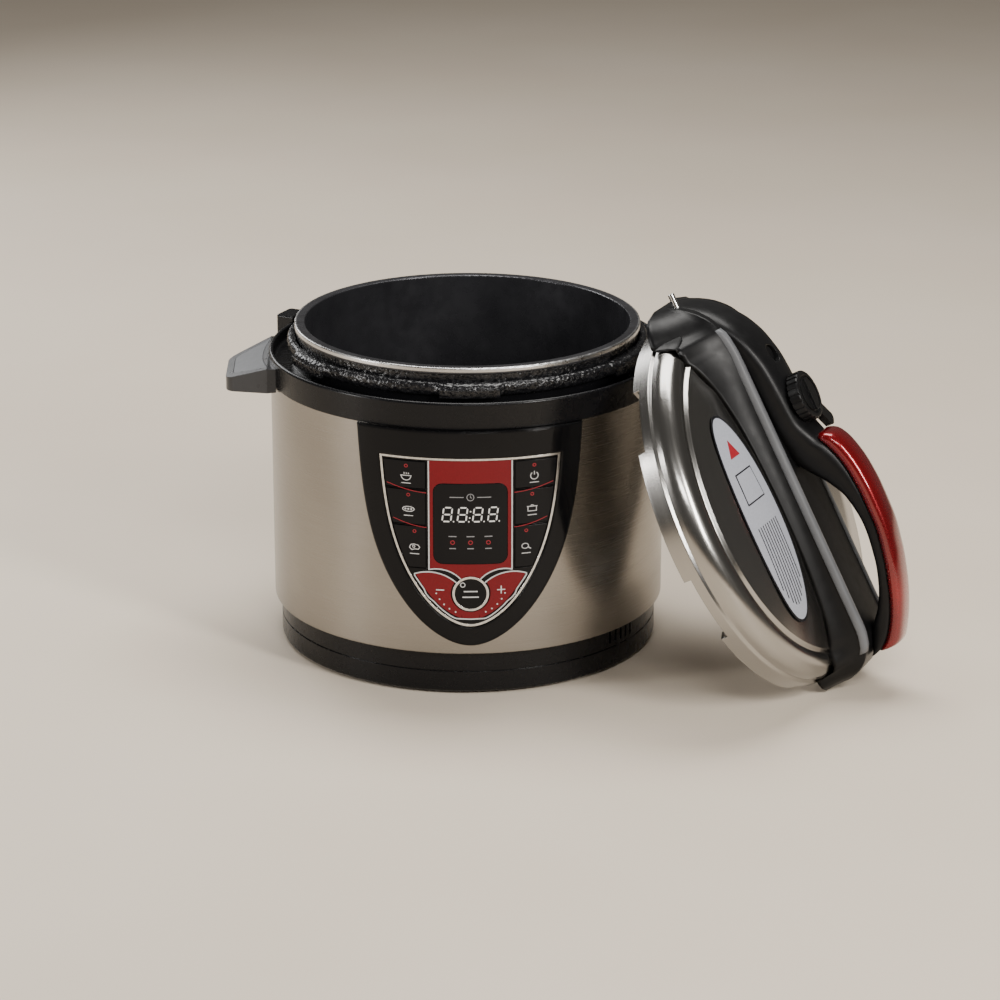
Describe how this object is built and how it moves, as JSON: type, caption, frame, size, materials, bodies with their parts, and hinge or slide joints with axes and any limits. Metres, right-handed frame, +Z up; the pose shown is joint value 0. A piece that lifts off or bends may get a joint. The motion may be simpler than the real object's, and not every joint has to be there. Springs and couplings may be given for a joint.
{
  "type": "electric pressure cooker",
  "caption": "Electric pressure cooker with steel body, shield-shaped control panel, lift-out pot, side handles and a bayonet lid leaning beside it.",
  "frame": {"origin": "on the base's vertical axis, at table level", "axes": "+Z up, the control panel faces -Y, the lid stands on the +X side"},
  "size_m": [0.4589, 0.3677, 0.2599],
  "materials": {
    "black_plastic": "fine moulded satin",
    "gloss_black": "polished black",
    "rubber": "matte",
    "brushed_steel": "brushed round the body",
    "spun_steel": "spun and polished",
    "enamel_black": "hammered glossy",
    "cast_aluminium": "cast",
    "zinc_steel": "zinc plated",
    "ceramic": "unglazed",
    "nonstick": "satin non-stick",
    "circuit_board": "solder mask",
    "white_plastic": "satin",
    "handle_grey": "satin",
    "trim_grey": "satin",
    "bright_trim": "bright",
    "tinted_window": "polished",
    "red_face": "glossy metallic red",
    "clear_plastic": "clear",
    "silicone": "satin silicone",
    "label": "printed film"
  },
  "bodies": {
    "base": {"base_bottom": "black_plastic", "rubber_feet": "rubber", "steel_shell": "brushed_steel", "collar": "black_plastic", "lid_switch_housing": "black_plastic", "outer_pot": "enamel_black", "heating_plate": "cast_aluminium", "heater_terminals": "ceramic", "sensor_spring": "zinc_steel", "sensor_bracket": "zinc_steel", "power_board": "circuit_board", "pressure_switch": "white_plastic", "thermal_fuse": "zinc_steel", "power_inlet": "gloss_black", "inlet_pins": "bright_trim", "base_screws": "zinc_steel", "panel_bezel": "gloss_black", "panel_face": "red_face", "face_trim": "bright_trim", "display_window": "tinted_window", "display_module": "white_plastic", "control_board": "circuit_board", "key_switches": "black_plastic", "cup_bracket": "black_plastic", "left_handle": "handle_grey", "right_handle": "handle_grey", "left_handle_plate": "handle_grey", "right_handle_plate": "handle_grey", "handle_screws": "zinc_steel"},
    "pot": {"inner_pot": "nonstick"},
    "sensor": {"temperature_sensor": "cast_aluminium"},
    "cup": {"condensate_cup": "clear_plastic"},
    "lid": {"lid_shell": "spun_steel", "lid_cover": "black_plastic", "handle_arch": "black_plastic", "handle_grip": "red_face", "warning_label": "label", "steam_pipe": "zinc_steel", "anti_block_cap": "zinc_steel", "sealing_ring": "silicone", "seal_rack": "spun_steel", "rack_stud": "zinc_steel", "rack_nut": "zinc_steel", "lock_pin": "bright_trim", "cover_screws": "zinc_steel", "trim_stripes": "trim_grey"},
    "knob": {"steam_knob": "black_plastic"},
    "float": {"float_valve": "black_plastic", "float_seal": "silicone"},
    "select": {"select_key": "gloss_black", "select_ring": "bright_trim"},
    "left_top_key": {"left_top_key": "gloss_black"},
    "left_middle_key": {"left_middle_key": "gloss_black"},
    "left_bottom_key": {"left_bottom_key": "gloss_black"},
    "right_top_key": {"right_top_key": "gloss_black"},
    "right_middle_key": {"right_middle_key": "gloss_black"},
    "right_bottom_key": {"right_bottom_key": "gloss_black"},
    "minus_key": {"minus_key": "red_face"},
    "plus_key": {"plus_key": "red_face"}
  },
  "joints": [
    {"name": "lid_lift", "type": "slide", "parent": "base", "child": "lid", "axis": [0.8155, -0.3428, 0.4664], "range_m": [0, 0.25]},
    {"name": "steam_knob_turn", "type": "hinge", "parent": "lid", "child": "knob", "pos_m": [0.22225, -0.0929, 0.19641], "axis": [0.8155, -0.3428, 0.4664], "range_deg": [0, 40]},
    {"name": "float_rise", "type": "slide", "parent": "lid", "child": "float", "axis": [0.8155, -0.3428, 0.4664], "range_m": [0, 0.0035]},
    {"name": "pot_lift", "type": "slide", "parent": "base", "child": "pot", "axis": [0, 0, 1], "range_m": [0, 0.2]},
    {"name": "sensor_press", "type": "slide", "parent": "base", "child": "sensor", "axis": [0, 0, -1], "range_m": [0, 0.0025], "stiffness_N_per_m": 400, "deforming": ["sensor_spring"]},
    {"name": "cup_pull", "type": "slide", "parent": "base", "child": "cup", "axis": [0, 1, 0], "range_m": [0, 0.04]},
    {"name": "select_press", "type": "slide", "parent": "base", "child": "select", "axis": [0, 1, 0], "range_m": [0, 0.0008], "stiffness_N_per_m": 900},
    {"name": "left_top_press", "type": "slide", "parent": "base", "child": "left_top_key", "axis": [0, 1, 0], "range_m": [0, 0.0008], "stiffness_N_per_m": 900},
    {"name": "left_middle_press", "type": "slide", "parent": "base", "child": "left_middle_key", "axis": [0, 1, 0], "range_m": [0, 0.0008], "stiffness_N_per_m": 900},
    {"name": "left_bottom_press", "type": "slide", "parent": "base", "child": "left_bottom_key", "axis": [0, 1, 0], "range_m": [0, 0.0008], "stiffness_N_per_m": 900},
    {"name": "right_top_press", "type": "slide", "parent": "base", "child": "right_top_key", "axis": [0, 1, 0], "range_m": [0, 0.0008], "stiffness_N_per_m": 900},
    {"name": "right_middle_press", "type": "slide", "parent": "base", "child": "right_middle_key", "axis": [0, 1, 0], "range_m": [0, 0.0008], "stiffness_N_per_m": 900},
    {"name": "right_bottom_press", "type": "slide", "parent": "base", "child": "right_bottom_key", "axis": [0, 1, 0], "range_m": [0, 0.0008], "stiffness_N_per_m": 900},
    {"name": "minus_press", "type": "slide", "parent": "base", "child": "minus_key", "axis": [0, 1, 0], "range_m": [0, 0.0008], "stiffness_N_per_m": 900},
    {"name": "plus_press", "type": "slide", "parent": "base", "child": "plus_key", "axis": [0, 1, 0], "range_m": [0, 0.0008], "stiffness_N_per_m": 900}
  ]
}
